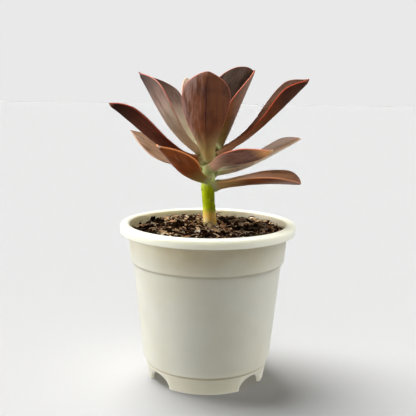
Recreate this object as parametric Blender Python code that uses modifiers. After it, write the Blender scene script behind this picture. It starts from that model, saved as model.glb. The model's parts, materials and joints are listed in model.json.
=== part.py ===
# Potted graptoveria: a rosette of folded leaves on a bare stem, in a plastic pot of soil
# The origin is under the middle of the pot, on the surface it stands on, and the front is -Y
import math
import random

import bmesh
import bpy
from mathutils import Matrix, Vector, noise

MM = 0.001
GAP = 0.3 * MM

# Pot: a turned shell with a rounded lip, a plain band, a tapered wall and a notched foot
POT_HEIGHT = 99 * MM
POT_STEPS = 48
WALL = 1.4 * MM
LIP_RADIUS = 55 * MM
LIP_ROUND = 3 * MM
LIP_DROP = 5.9 * MM
LIP_WALL = 1.7 * MM
LIP_TAPER = 0.4 * MM
LIP_FILLET = 0.6 * MM
MOUTH_RADIUS = 48.8 * MM
MOUTH_ROUND = 2 * MM
BAND_TOP_RADIUS = 49.8 * MM
BAND_RADIUS = 48.2 * MM
BAND_HEIGHT = 75.7 * MM
STEP_DROP = 1.5 * MM
WALL_TOP_RADIUS = 46.4 * MM
WALL_FOOT_RADIUS = 40.6 * MM
WALL_FOOT_HEIGHT = 17 * MM
GROOVE_RADIUS = 38.1 * MM
GROOVE_HEIGHT = 10.3 * MM
GROOVE_HALF = 0.35 * MM
FOOT_TOP_RADIUS = 38.4 * MM
FOOT_RADIUS = 36.5 * MM
FOOT_WALL = 1.9 * MM
FOOT_EDGE = 0.4 * MM
FLOOR_UNDER = 9.2 * MM
FLOOR_TOP = 11 * MM
NOTCH_AZIMUTHS = (36, 140, 216, 320)
NOTCH_HALF_WIDTH = 10.5 * MM
NOTCH_HEIGHT = 7.5 * MM
NOTCH_DEPTH = 10 * MM
DRAIN_COUNT = 5
DRAIN_RING = 21 * MM
DRAIN_RADIUS = 3.5 * MM
DRAIN_DEPTH = 6 * MM

# Stem: it leans a little, then comes back under the rosette; girths are heights and radii in mm
STEM_SIDES = 12
STEM_GIRTHS = ((60, 3.6), (90, 4), (107, 4.1), (111, 3.75), (115, 3.9), (122, 4.4), (140, 4.1), (150, 3.2))
STEM_LEAN_FROM = 97 * MM
STEM_LEAN_TO = 120 * MM
STEM_BACK_FROM = 124 * MM
STEM_BACK_TO = 140 * MM
STEM_FOOT = 62 * MM
STEM_TOP = 150 * MM
STEM_POINTS = 18
STEM_LEAN_LOW = 1.3 * MM
STEM_LEAN_HIGH = -0.1 * MM
STEM_AXIS = Vector((0.5 * MM, 0, 0))

# Soil: a mounded plug with clods in its surface and bark chips sunk in it
SOIL_RINGS = 14
SOIL_STEPS = 48
SOIL_EDGE_HEIGHT = 94.4 * MM
SOIL_MOUND = 4 * MM
CLOD_HEIGHT = 1.5 * MM
CLOD_DETAIL = 2.3
CLOD_SIZE = 8 * MM
CHIP_COUNT = 34
CHIP_SEED = 11
CHIP_REACH = 43 * MM
CHIP_CLEAR = 9 * MM
CHIP_LENGTHS = (4, 9)
CHIP_WIDTHS = (1.6, 3.4)
CHIP_THICKNESSES = (1.4, 2.4)
CHIP_TILT = 22
CHIP_END_WIDTH = 0.55
CHIP_END_HEIGHT = 0.7
SLIVER_START = Vector((7.5, 7, 0)) * MM
SLIVER_END = Vector((13, -19, 0)) * MM
SLIVER_SECTION = (3.2 * MM, 2.2 * MM)
UPRIGHT_PLACE = Vector((-38, 21, 0)) * MM
UPRIGHT_SIZE = Vector((5, 4, 4.5)) * MM
UPRIGHT_TURN = 20
UPRIGHT_TILT = -50
TWIG_PLACE = Vector((0.4, -6.8, 98.2)) * MM
TWIG_RADIUS = 1.9 * MM
TWIG_LENGTH = 9 * MM
TWIG_LIFT = 74
TWIG_TURN = 8

# Leaves: each springs from the stem and runs out along its midrib in a V-shaped fold
LEAF_SIDES = 14
LEAF_RINGS = 15
LEAF_EDGE = 0.8 * MM
LEAF_MIDDLE = 2.6 * MM
FOLD_ROUNDING = 0.18
HANDLE = 0.36
ROOT_OUT = 2 * MM
LEAF_BULGE = 1.6
RING_CROWDING = 1.3

# Azimuth is counter-clockwise from +X, tip is how far out and how high, pitch is at root and tip,
# fold is each half's rise, roll and twist turn the blade, all in degrees and millimetres.
# widest is a fraction of the length, point sharpens the tip, neck and swell shape the lower half.
LEAVES = {
    "leaf_lowest_right": dict(azimuth=349, root=123.5, tip=(56.9, 125.9), pitch=(11, -10),
                              sweep=-2.6, half_width=14.4, fold=16, roll=2, twist=3, widest=0.83,
                              point=0.65, neck=0.23, swell=1.06),
    "leaf_low_front_left": dict(azimuth=237, root=127.5, tip=(53.5, 150.3), pitch=(1, 14),
                                sweep=-3.5, half_width=13.7, fold=20, roll=-9.9, twist=2,
                                widest=0.55, point=1.42, neck=0.27, swell=0.94),
    "leaf_low_back": dict(azimuth=88, root=127.5, tip=(53, 136), pitch=(8, 6), sweep=1,
                          half_width=13, fold=14, widest=0.7, point=0.9),
    "leaf_low_right": dict(azimuth=20, root=131.5, tip=(61.9, 150.7), pitch=(-1, 19), sweep=0.2,
                           half_width=11.7, fold=12, roll=1.5, twist=-2, widest=0.85, neck=0.28),
    "leaf_low_front_right": dict(azimuth=309.5, root=133.6, tip=(55.8, 148.6), pitch=(26, 28),
                                 sweep=-2.6, half_width=11.3, fold=27, roll=1.6, twist=-8,
                                 widest=0.68, point=1.34, neck=0.28, swell=0.92),
    "leaf_low_left": dict(azimuth=152, root=133.9, tip=(58.7, 154.2), pitch=(1, 20), sweep=-1.5,
                          half_width=13.9, fold=-3, roll=-8, twist=-3, widest=0.51, point=1.18,
                          neck=0.25, swell=1.06),
    "leaf_middle_left": dict(azimuth=187, root=138, tip=(61.3, 172.5), pitch=(5, 31), sweep=0.5,
                             half_width=12.3, fold=33, roll=0.1, widest=0.77, point=1.06, neck=0.27,
                             swell=1.21),
    "leaf_middle_back": dict(azimuth=123, root=138, tip=(45, 166), pitch=(24, 42), half_width=12,
                             fold=26, widest=0.68, point=0.9),
    "leaf_middle_right": dict(azimuth=358, root=141.3, tip=(59.8, 188.3), pitch=(26, 43), sweep=4.4,
                              half_width=14.2, fold=31, roll=15, twist=-12, widest=0.81, point=1.41,
                              neck=0.14, swell=1.73),
    "leaf_upper_back_right": dict(azimuth=80, root=134.5, tip=(41, 165), pitch=(28, 42),
                                  half_width=8, fold=26, widest=0.66),
    "leaf_front": dict(azimuth=268, root=139.2, tip=(42.4, 191.5), pitch=(30, 57), sweep=-1.6,
                       half_width=14.8, fold=22, roll=3.5, twist=-3, widest=0.72, point=0.88,
                       swell=1.01),
    "leaf_upper_left": dict(azimuth=153, root=142, tip=(51.1, 191.4), pitch=(23, 42), sweep=4,
                            half_width=16, fold=47, roll=0.1, twist=9, widest=0.65, point=1.46,
                            swell=1),
    "leaf_upper_right": dict(azimuth=37, root=143.1, tip=(34, 193.2), pitch=(42, 58), sweep=2.3,
                             half_width=19.9, fold=59, roll=-8.4, twist=37, widest=0.61, point=0.55,
                             neck=0.16, swell=1.07),
    "leaf_upper_back": dict(azimuth=112, root=144, tip=(43.2, 188.4), pitch=(42, 60), sweep=-1.5,
                            half_width=10.4, fold=28, roll=-1, widest=0.58, point=0.84, neck=0.2),
}
PLAIN_LEAF = dict(sweep=0, roll=0, twist=0, widest=0.64, point=0.8, neck=0.24, swell=1.1)

# Heart: young leaves that stand round the tip of the stem, each a golden angle past the last
HEART_LEAVES = 7
HEART_SIDES = 8
HEART_RINGS = 8
HEART_START = 257
GOLDEN_ANGLE = 137.5
HEART_CORE_RADIUS = 3 * MM
HEART_CORE_HEIGHT = 7 * MM
HEART_CORE_TOP = 1 * MM
HEART_LENGTHS = (28, 13)
HEART_PITCH_AT_ROOT = -12
HEART_PITCH_AT_TIP = 10
HEART_PITCHES = (62, 82)
HEART_HALF_WIDTHS = (6.5, 3.5)
HEART_ROOTS = (2, 4.5)
HEART_FOLD = 40


def make_collection(name):
    """Return a new collection under the scene."""
    collection = bpy.data.collections.new(name)
    bpy.context.scene.collection.children.link(collection)
    return collection


def material(name, colour, roughness):
    """Return a Principled material."""
    made = bpy.data.materials.new(name)
    made.use_nodes = True
    shader = made.node_tree.nodes["Principled BSDF"]
    shader.inputs["Base Color"].default_value = (*colour, 1)
    shader.inputs["Roughness"].default_value = roughness
    shader.inputs["Metallic"].default_value = 0
    made.diffuse_color = (*colour, 1)
    return made


def add_object(name, mesh, collection):
    """Put a mesh, or a curve, in the scene as a named object."""
    thing = bpy.data.objects.new(name, mesh)
    collection.objects.link(thing)
    return thing


def into(collection, name):
    """Name the primitive that was added last and move it to a collection."""
    thing = bpy.context.object
    thing.name = name
    for other in list(thing.users_collection):
        other.objects.unlink(thing)
    collection.objects.link(thing)
    return thing


def mesh_from(work, name):
    """Turn a bmesh into a mesh and free it."""
    mesh = bpy.data.meshes.new(name)
    work.to_mesh(mesh)
    work.free()
    return mesh


def as_cutter(thing):
    """Mark an object as a cutter that the build leaves out."""
    thing.hide_render = True
    thing.display_type = "WIRE"
    return thing


def cut(thing, cutter):
    """Take one cutter out of an object with a Boolean that stays on it."""
    boolean = thing.modifiers.new("cut_" + cutter.name, "BOOLEAN")
    boolean.operation = "DIFFERENCE"
    boolean.solver = "EXACT"
    boolean.object = cutter
    return thing


def baked(thing):
    """Replace an object's mesh, or a curve, with its evaluated mesh, and return the mesh object."""
    graph = bpy.context.evaluated_depsgraph_get()
    mesh = bpy.data.meshes.new_from_object(thing.evaluated_get(graph))
    work = bmesh.new()
    work.from_mesh(mesh)
    bmesh.ops.remove_doubles(work, verts=work.verts, dist=0.00001)
    work.to_mesh(mesh)
    work.free()
    made = bpy.data.objects.new(thing.name + "_mesh", mesh)
    made.matrix_world = thing.matrix_world.copy()
    for collection in thing.users_collection:
        collection.objects.link(made)
    name = thing.name
    bpy.data.objects.remove(thing)
    made.name = name
    return made


def fuse(body, pieces):
    """Join a body with every piece in a collection by one union, and remove the pieces."""
    union = body.modifiers.new("fuse", "BOOLEAN")
    union.operation = "UNION"
    union.solver = "EXACT"
    union.operand_type = "COLLECTION"
    union.collection = pieces
    joined = baked(body)
    for piece in list(pieces.objects):
        bpy.data.objects.remove(piece)
    bpy.data.collections.remove(pieces)
    return joined


def shade_round(thing, angle=40):
    """Shade an object smooth, with sharp edges kept."""
    thing.data.shade_smooth()
    thing.data.set_sharp_from_angle(angle=math.radians(angle))


def polar(radius, azimuth, height=0.0):
    """Return the point at a radius and an azimuth in degrees."""
    angle = math.radians(azimuth)
    return Vector((radius * math.cos(angle), radius * math.sin(angle), height))


def arc(centre, radius, start, end, count):
    """Return points along an arc in the profile plane, angles in degrees."""
    points = []
    for index in range(count + 1):
        angle = math.radians(start + (end - start) * index / count)
        points.append((centre[0] + radius * math.cos(angle), centre[1] + radius * math.sin(angle)))
    return points


def turned(name, profile, steps, collection):
    """Turn a profile of (radius, height) points about Z, its outer side running downwards."""
    mesh = bpy.data.meshes.new(name)
    edges = [(index, index + 1) for index in range(len(profile) - 1)]
    mesh.from_pydata([(radius, 0, height) for radius, height in profile], edges, [])
    thing = add_object(name, mesh, collection)
    screw = thing.modifiers.new("turn", "SCREW")
    screw.axis = "Z"
    screw.steps = steps
    screw.render_steps = steps
    screw.use_merge_vertices = True
    screw.merge_threshold = 0.00001
    return thing


def inner_radius(height):
    """Return the radius of the pot's inside at a height."""
    if height >= BAND_HEIGHT:
        share = (height - BAND_HEIGHT) / (POT_HEIGHT - MOUTH_ROUND - BAND_HEIGHT)
        low = BAND_RADIUS - WALL
        return low + (MOUTH_RADIUS - low) * share
    low_height = WALL_FOOT_HEIGHT
    share = (height - low_height) / (BAND_HEIGHT - STEP_DROP - low_height)
    low = WALL_FOOT_RADIUS - WALL
    return low + (WALL_TOP_RADIUS - WALL - low) * min(share, 1)


def make_pot(collection, cutters):
    """Turn the pot, then cut the notches in its foot and the drain holes in its floor."""
    floor_edge = WALL_FOOT_RADIUS - 2 * WALL
    step_height = BAND_HEIGHT - STEP_DROP
    lip_under = POT_HEIGHT - LIP_DROP
    lip_inside = LIP_RADIUS - LIP_WALL
    shoulder = WALL_FOOT_RADIUS - FOOT_TOP_RADIUS
    shoulder_drop = WALL_FOOT_HEIGHT - GROOVE_HEIGHT
    foot_inside = FOOT_TOP_RADIUS - FOOT_WALL
    profile = [(0, FLOOR_TOP), (floor_edge - WALL, FLOOR_TOP), (floor_edge, FLOOR_TOP + WALL)]
    profile += [(inner_radius(height), height) for height in (WALL_FOOT_HEIGHT, step_height, BAND_HEIGHT)]
    profile += arc((MOUTH_RADIUS + MOUTH_ROUND, POT_HEIGHT - MOUTH_ROUND), MOUTH_ROUND, 180, 90, 3)
    profile += arc((LIP_RADIUS - LIP_ROUND, POT_HEIGHT - LIP_ROUND), LIP_ROUND, 90, 0, 5)
    profile += [
        (LIP_RADIUS - LIP_TAPER, lip_under),
        (lip_inside - LIP_TAPER, lip_under),
        (lip_inside - LIP_FILLET, POT_HEIGHT - LIP_ROUND),
        (BAND_TOP_RADIUS + LIP_FILLET, POT_HEIGHT - LIP_ROUND + LIP_TAPER),
        (BAND_TOP_RADIUS, lip_under),
        (BAND_RADIUS, BAND_HEIGHT),
        (WALL_TOP_RADIUS, step_height),
        (WALL_FOOT_RADIUS, WALL_FOOT_HEIGHT),
        (WALL_FOOT_RADIUS - 0.35 * shoulder, WALL_FOOT_HEIGHT - 0.5 * shoulder_drop),
        (WALL_FOOT_RADIUS - 0.75 * shoulder, WALL_FOOT_HEIGHT - 0.85 * shoulder_drop),
        (FOOT_TOP_RADIUS, GROOVE_HEIGHT + 2 * GROOVE_HALF),
        (GROOVE_RADIUS, GROOVE_HEIGHT + GROOVE_HALF),
        (GROOVE_RADIUS, GROOVE_HEIGHT - GROOVE_HALF),
        (FOOT_TOP_RADIUS, GROOVE_HEIGHT - 2 * GROOVE_HALF),
        (FOOT_RADIUS, FOOT_EDGE),
        (FOOT_RADIUS - FOOT_EDGE, 0),
        (FOOT_RADIUS - FOOT_WALL, 0),
        (foot_inside - FOOT_EDGE, FLOOR_UNDER - 2 * FOOT_EDGE),
        (foot_inside - 3 * FOOT_EDGE, FLOOR_UNDER),
        (0, FLOOR_UNDER),
    ]
    pot = turned("pot", profile, POT_STEPS, collection)
    pot.data.materials.append(material("pot_plastic", (0.8, 0.78, 0.68), 0.35))
    for number, azimuth in enumerate(NOTCH_AZIMUTHS):
        work = bmesh.new()
        bmesh.ops.create_cone(work, cap_ends=True, segments=24, radius1=NOTCH_HALF_WIDTH,
                              radius2=NOTCH_HALF_WIDTH, depth=NOTCH_DEPTH)
        bmesh.ops.rotate(work, verts=work.verts, matrix=Matrix.Rotation(math.pi / 2, 3, "Y"))
        bmesh.ops.scale(work, verts=work.verts, vec=(1, 1, NOTCH_HEIGHT / NOTCH_HALF_WIDTH))
        notch = add_object("notch_%d" % number, mesh_from(work, "notch"), cutters)
        notch.location = polar(FOOT_RADIUS, azimuth)
        notch.rotation_euler.z = math.radians(azimuth)
        cut(pot, as_cutter(notch))
    for number in range(DRAIN_COUNT + 1):
        bpy.ops.mesh.primitive_cylinder_add(vertices=16, radius=DRAIN_RADIUS, depth=DRAIN_DEPTH)
        drain = into(cutters, "drain_%d" % number)
        ring = DRAIN_RING if number else 0
        drain.location = polar(ring, 360 * number / DRAIN_COUNT, (FLOOR_UNDER + FLOOR_TOP) / 2)
        cut(pot, as_cutter(drain))
    return pot


def share_between(value, low, high):
    """Return how far a value lies from low to high, held between 0 and 1."""
    return min(max((value - low) / (high - low), 0), 1)


def stem_centre(height):
    """Return the middle of the stem at a height: it leans to the left as it rises."""
    lean = share_between(height, STEM_LEAN_FROM, STEM_LEAN_TO)
    ease = lean * lean * (3 - 2 * lean)
    across = STEM_LEAN_LOW + (STEM_LEAN_HIGH - STEM_LEAN_LOW) * ease
    back = share_between(height, STEM_BACK_FROM, STEM_BACK_TO)
    return Vector((across + (STEM_AXIS.x - across) * back, 0, height))


def stem_radius(height):
    """Return the stem's radius at a height, along straight lines between its girths."""
    for (low, first), (high, second) in zip(STEM_GIRTHS, STEM_GIRTHS[1:]):
        if height <= high * MM:
            break
    return (first + (second - first) * share_between(height / MM, low, high)) * MM


def stem_tube(name, extra, collection):
    """Make the stem as a tube, thicker and longer by extra where it is the clearance cutter."""
    curve = bpy.data.curves.new(name, "CURVE")
    curve.dimensions = "3D"
    curve.bevel_depth = 1 * MM
    curve.bevel_resolution = STEM_SIDES // 2 - 2
    curve.use_fill_caps = True
    spline = curve.splines.new("POLY")
    spline.points.add(STEM_POINTS - 1)
    for index, point in enumerate(spline.points):
        height = STEM_FOOT + (STEM_TOP - STEM_FOOT) * index / (STEM_POINTS - 1)
        centre = stem_centre(height)
        if index == 0:
            centre.z -= extra
        if index == STEM_POINTS - 1:
            centre.z += extra
        point.co = (*centre, 1)
        point.radius = (stem_radius(height) + extra) / (1 * MM)
    return baked(add_object(name, curve, collection))


def soil_height(x, y):
    """Return the height of the soil at a place: a low mound with clods on it."""
    radius = math.hypot(x, y)
    share = min(radius / inner_radius(SOIL_EDGE_HEIGHT), 1)
    mound = SOIL_EDGE_HEIGHT + SOIL_MOUND * (1 - share * share)
    place = Vector((x / CLOD_SIZE, y / CLOD_SIZE, 0.3))
    clods = noise.noise(place) + 0.5 * noise.noise(place * CLOD_DETAIL)
    return mound + CLOD_HEIGHT * clods


def chip(name, centre, size, turn, tilt, pieces):
    """Make one bark chip as a flattened block with a tapered end."""
    work = bmesh.new()
    bmesh.ops.create_cube(work, size=1)
    for corner in work.verts:
        if corner.co.x > 0:
            corner.co.y *= CHIP_END_WIDTH
            corner.co.z *= CHIP_END_HEIGHT
    bmesh.ops.scale(work, verts=work.verts, vec=size)
    made = add_object(name, mesh_from(work, name), pieces)
    made.rotation_euler = (0, math.radians(tilt), math.radians(turn))
    made.location = centre
    return made


def make_soil(collection, clearance):
    """Turn the soil's plug, raise its clods, sink the chips and clear the stem's hole."""
    edge_radius = inner_radius(SOIL_EDGE_HEIGHT) - GAP
    bottom = FLOOR_TOP + GAP
    profile = []
    for index in range(SOIL_RINGS + 1):
        radius = edge_radius * index / SOIL_RINGS
        profile.append((radius, SOIL_EDGE_HEIGHT))
    low_edge = WALL_FOOT_RADIUS - 2 * WALL
    profile += [
        (inner_radius(BAND_HEIGHT) - GAP, BAND_HEIGHT + GAP),
        (inner_radius(BAND_HEIGHT - STEP_DROP) - GAP, BAND_HEIGHT - STEP_DROP),
        (inner_radius(WALL_FOOT_HEIGHT) - GAP, WALL_FOOT_HEIGHT),
        (low_edge - GAP, bottom + WALL),
        (low_edge - WALL - GAP, bottom),
        (0, bottom),
    ]
    soil = baked(turned("soil", profile, SOIL_STEPS, collection))
    for corner in soil.data.vertices:
        if corner.co.z > SOIL_EDGE_HEIGHT - GAP:
            corner.co.z = soil_height(corner.co.x, corner.co.y)
    pieces = make_collection("chips")
    place = random.Random(CHIP_SEED)
    for number in range(CHIP_COUNT):
        radius = CHIP_CLEAR + (CHIP_REACH - CHIP_CLEAR) * math.sqrt(place.random())
        spot = polar(radius, 360 * place.random())
        spot.z = soil_height(spot.x, spot.y)
        size = [place.uniform(*span) * MM for span in (CHIP_LENGTHS, CHIP_WIDTHS, CHIP_THICKNESSES)]
        tilt = place.uniform(-CHIP_TILT, CHIP_TILT)
        chip("chip_%d" % number, spot, size, 360 * place.random(), tilt, pieces)
    along = SLIVER_END - SLIVER_START
    middle = (SLIVER_START + SLIVER_END) / 2
    middle.z = soil_height(middle.x, middle.y) + 0.2 * SLIVER_SECTION[1]
    chip("sliver", middle, (along.length, *SLIVER_SECTION), math.degrees(math.atan2(along.y, along.x)),
         0, pieces)
    upright = UPRIGHT_PLACE.copy()
    upright.z = soil_height(upright.x, upright.y) + 0.2 * UPRIGHT_SIZE.z
    chip("upright_chip", upright, UPRIGHT_SIZE, UPRIGHT_TURN, UPRIGHT_TILT, pieces)
    bpy.ops.mesh.primitive_cylinder_add(vertices=10, radius=TWIG_RADIUS, depth=TWIG_LENGTH)
    twig = into(pieces, "twig_end")
    twig.rotation_euler = (math.radians(TWIG_LIFT), 0, math.radians(TWIG_TURN))
    twig.location = TWIG_PLACE
    soil = fuse(soil, pieces)
    soil.data.materials.append(material("soil", (0.06, 0.04, 0.03), 0.95))
    return cut(soil, clearance)


def midrib(leaf, t):
    """Return the midrib's point: a curve in the leaf's upright plane, bowed sideways by sweep."""
    root = Vector((ROOT_OUT, leaf["root"] * MM))
    tip = Vector(leaf["tip"]) * MM
    reach = (tip - root).length * HANDLE
    leave, arrive = (math.radians(pitch) for pitch in leaf["pitch"])
    first = root + Vector((math.cos(leave), math.sin(leave))) * reach
    second = tip - Vector((math.cos(arrive), math.sin(arrive))) * reach
    s = 1 - t
    flat = root * s ** 3 + first * (3 * s * s * t) + second * (3 * s * t * t) + tip * t ** 3
    angle = math.radians(leaf["azimuth"])
    side = Vector((-math.sin(angle), math.cos(angle), 0))
    out = Vector((math.cos(angle), math.sin(angle), 0))
    bow = leaf["sweep"] * MM * math.sin(math.pi * t)
    return STEM_AXIS + out * flat.x + side * bow + Vector((0, 0, flat.y))


def blade_axes(leaf, t):
    """Return the blade's across and up directions, after its roll and twist."""
    step = 0.01
    along = (midrib(leaf, min(t + step, 1)) - midrib(leaf, max(t - step, 0))).normalized()
    angle = math.radians(leaf["azimuth"])
    side = Vector((-math.sin(angle), math.cos(angle), 0))
    up = along.cross(side).normalized()
    across = up.cross(along)
    turn = math.radians(leaf["roll"] + leaf["twist"] * t)
    return across * math.cos(turn) + up * math.sin(turn), up * math.cos(turn) - across * math.sin(turn)


def half_width(leaf, t):
    """Return half the blade's width: a neck that swells to the widest place, then a point."""
    if t < leaf["widest"]:
        rise = 0.5 - 0.5 * math.cos(math.pi * (t / leaf["widest"]) ** leaf["swell"])
        share = leaf["neck"] + (1 - leaf["neck"]) * rise
    else:
        past = min((t - leaf["widest"]) / (1 - leaf["widest"]), 1)
        share = (1 - past * past) ** leaf["point"]
    return max(leaf["half_width"] * share, 0.4) * MM


def blade_point(leaf, t, s, upper):
    """Return a point on the blade, s across it from -1 to 1, on its upper or lower side."""
    width = half_width(leaf, t)
    fold = math.radians(leaf["fold"])
    root = math.sqrt(s * s + FOLD_ROUNDING ** 2)
    span = math.sqrt(1 + FOLD_ROUNDING ** 2) - FOLD_ROUNDING
    x = width * s * math.cos(fold)
    y = width * math.sin(fold) * (root - FOLD_ROUNDING) / span
    if not upper:
        slope = math.tan(fold) * s / root / span
        length = math.hypot(1, slope)
        middle = LEAF_MIDDLE * math.sqrt(max(1 - t, 0))
        thickness = LEAF_EDGE + middle * (1 - abs(s) ** LEAF_BULGE)
        x += slope / length * thickness
        y -= thickness / length
    across, up = blade_axes(leaf, t)
    return midrib(leaf, t) + across * x + up * y


def leaf_mesh(name, leaf, sides, rings):
    """Reshape a sphere into the leaf: its poles are the root and tip, its rings the sections."""
    work = bmesh.new()
    bmesh.ops.create_uvsphere(work, u_segments=sides, v_segments=rings + 1, radius=1)
    half_step = math.pi / sides
    for corner in work.verts:
        down = math.acos(max(-1, min(1, corner.co.z))) / math.pi
        t = 1 - (1 - down) ** RING_CROWDING
        if down < 0.01 or down > 0.99:
            corner.co = blade_point(leaf, t, 0, True)
            continue
        around = math.atan2(corner.co.y, corner.co.x) + half_step
        s = math.cos(around) / math.cos(half_step)
        corner.co = blade_point(leaf, t, max(-1, min(1, s)), math.sin(around) > 0)
    bmesh.ops.recalc_face_normals(work, faces=work.faces)
    return mesh_from(work, name)


def make_leaves(collection, clearance):
    """Make each large leaf and clear the stem from its root."""
    for name, own in LEAVES.items():
        leaf = {**PLAIN_LEAF, **own}
        thing = add_object(name, leaf_mesh(name, leaf, LEAF_SIDES, LEAF_RINGS), collection)
        thing.data.materials.append(material(name, (0.2, 0.09, 0.06), 0.5))
        cut(thing, clearance)
        shade_round(thing)


def make_heart(collection):
    """Fuse the young leaves with the bud that they stand round."""
    bpy.ops.mesh.primitive_cone_add(vertices=12, radius1=HEART_CORE_RADIUS, radius2=HEART_CORE_TOP,
                                    depth=HEART_CORE_HEIGHT)
    core = into(collection, "heart")
    core.location = STEM_AXIS + Vector((0, 0, STEM_TOP + GAP + HEART_CORE_HEIGHT / 2))
    pieces = make_collection("heart_leaves")
    for number in range(HEART_LEAVES):
        share = number / (HEART_LEAVES - 1)
        spans = (HEART_LENGTHS, HEART_PITCHES, HEART_HALF_WIDTHS, HEART_ROOTS)
        length, pitch, width, rise = (first + (last - first) * share for first, last in spans)
        root = STEM_TOP / MM + rise
        reach = polar(length, pitch)
        leaf = {**PLAIN_LEAF, "azimuth": HEART_START - GOLDEN_ANGLE * number, "root": root,
                "tip": (ROOT_OUT / MM + reach.x, root + reach.y),
                "pitch": (pitch + HEART_PITCH_AT_ROOT, pitch + HEART_PITCH_AT_TIP),
                "half_width": width, "fold": HEART_FOLD}
        piece = add_object("young_%d" % number, leaf_mesh("young", leaf, HEART_SIDES, HEART_RINGS), pieces)
        piece.location = polar(-0.5 * ROOT_OUT, leaf["azimuth"])
    heart = fuse(core, pieces)
    heart.data.materials.append(material("heart", (0.25, 0.16, 0.1), 0.5))
    shade_round(heart)
    return heart


def build():
    """Clear the scene and model the whole plant in its pot."""
    for thing in list(bpy.data.objects):
        bpy.data.objects.remove(thing)
    parts = make_collection("potted_graptoveria")
    cutters = make_collection("cutters")
    clearance = as_cutter(stem_tube("stem_clearance", GAP, cutters))
    shade_round(make_pot(parts, cutters))
    shade_round(make_soil(parts, clearance), 20)
    stem = stem_tube("stem", 0, parts)
    stem.data.materials.append(material("stem", (0.45, 0.42, 0.08), 0.5))
    shade_round(stem)
    make_leaves(parts, clearance)
    make_heart(parts)


build()
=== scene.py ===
# Potted graptoveria: the looks of a bronze rosette on a bare stem, in a plastic pot of soil
import json
import math
import random

import bmesh
import bpy
from mathutils import Matrix, Vector, noise

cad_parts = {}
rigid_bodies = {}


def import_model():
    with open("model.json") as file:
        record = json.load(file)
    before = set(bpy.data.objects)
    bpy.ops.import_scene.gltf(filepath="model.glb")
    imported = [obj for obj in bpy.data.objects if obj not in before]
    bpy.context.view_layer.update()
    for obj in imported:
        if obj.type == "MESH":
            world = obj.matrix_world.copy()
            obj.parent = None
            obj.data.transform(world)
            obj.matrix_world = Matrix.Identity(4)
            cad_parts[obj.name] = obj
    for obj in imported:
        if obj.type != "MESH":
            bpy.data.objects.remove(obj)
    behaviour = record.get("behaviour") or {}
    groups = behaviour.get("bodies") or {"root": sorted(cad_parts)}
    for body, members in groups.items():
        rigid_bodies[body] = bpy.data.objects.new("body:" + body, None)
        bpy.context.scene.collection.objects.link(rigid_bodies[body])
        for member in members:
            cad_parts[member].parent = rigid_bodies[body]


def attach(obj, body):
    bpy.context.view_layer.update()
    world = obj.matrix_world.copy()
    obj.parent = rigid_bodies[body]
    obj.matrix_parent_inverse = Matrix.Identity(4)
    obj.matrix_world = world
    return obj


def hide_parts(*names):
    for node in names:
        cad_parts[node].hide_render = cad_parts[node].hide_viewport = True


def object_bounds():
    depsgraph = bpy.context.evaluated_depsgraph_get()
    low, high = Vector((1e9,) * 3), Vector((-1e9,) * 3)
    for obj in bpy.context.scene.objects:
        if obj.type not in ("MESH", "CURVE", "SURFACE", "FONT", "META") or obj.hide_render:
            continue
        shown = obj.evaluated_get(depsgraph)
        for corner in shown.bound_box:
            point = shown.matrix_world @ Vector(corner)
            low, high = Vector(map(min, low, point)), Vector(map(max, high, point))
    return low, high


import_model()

mm = 0.001
scene = bpy.context.scene
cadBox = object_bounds()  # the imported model's own box, before anything is added


# ---- Small helpers

def srgb(*levels):  # screen levels from 0 to 255 as a linear colour
    shares = [level / 255 for level in levels]
    return (*(share / 12.92 if share <= 0.04045 else ((share + 0.055) / 1.055) ** 2.4 for share in shares), 1)


def tinted(values):  # the same dictionary with its colours made linear
    return {name: srgb(*value) if isinstance(value, tuple) else value for name, value in values.items()}


def polar(radius, azimuth, height=0.0):
    angle = math.radians(azimuth)
    return Vector((radius * math.cos(angle), radius * math.sin(angle), height))


def shareBetween(value, low, high):
    return min(max((value - low) / (high - low), 0), 1)


def between(ends, share):
    return ends[0] + (ends[1] - ends[0]) * share


def ease(share):
    return share * share * (3 - 2 * share)


def turned(degrees, axis):
    return Matrix.Rotation(math.radians(degrees), 4, axis)


def linked(name, data):
    thing = bpy.data.objects.new(name, data)
    scene.collection.objects.link(thing)
    return thing


def meshOf(work, name):
    mesh = bpy.data.meshes.new(name)
    work.to_mesh(mesh)
    work.free()
    return mesh


def meshFrom(name, points, faces):
    mesh = bpy.data.meshes.new(name)
    mesh.from_pydata(points, [], faces)
    work = bmesh.new()
    work.from_mesh(mesh)
    bmesh.ops.recalc_face_normals(work, faces=work.faces)
    work.to_mesh(mesh)
    work.free()
    return mesh


def bands(rings, size, first=0):  # the faces between rings of points that follow each other
    faces = []
    for ring in range(rings - 1):
        for side in range(size):
            here, there = first + ring * size + side, first + ring * size + (side + 1) % size
            faces.append((here, there, there + size, here + size))
    return faces


def tube(rings, size):  # the same with both ends closed
    return bands(rings, size) + [tuple(range(size))[::-1], tuple(range((rings - 1) * size, rings * size))]


def storeVectors(mesh, name, values):  # one vector for each point, for a material to read
    layer = mesh.attributes.new(name, "FLOAT_VECTOR", "POINT")
    layer.data.foreach_set("vector", [number for value in values for number in value])


def finished(thing, look, nodes, angle):
    thing.data.materials.clear()
    thing.data.materials.append(look)
    thing.data.shade_smooth()
    thing.data.set_sharp_from_angle(angle=math.radians(angle))
    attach(thing, "root")
    if nodes:
        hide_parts(*nodes)
    return thing


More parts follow.
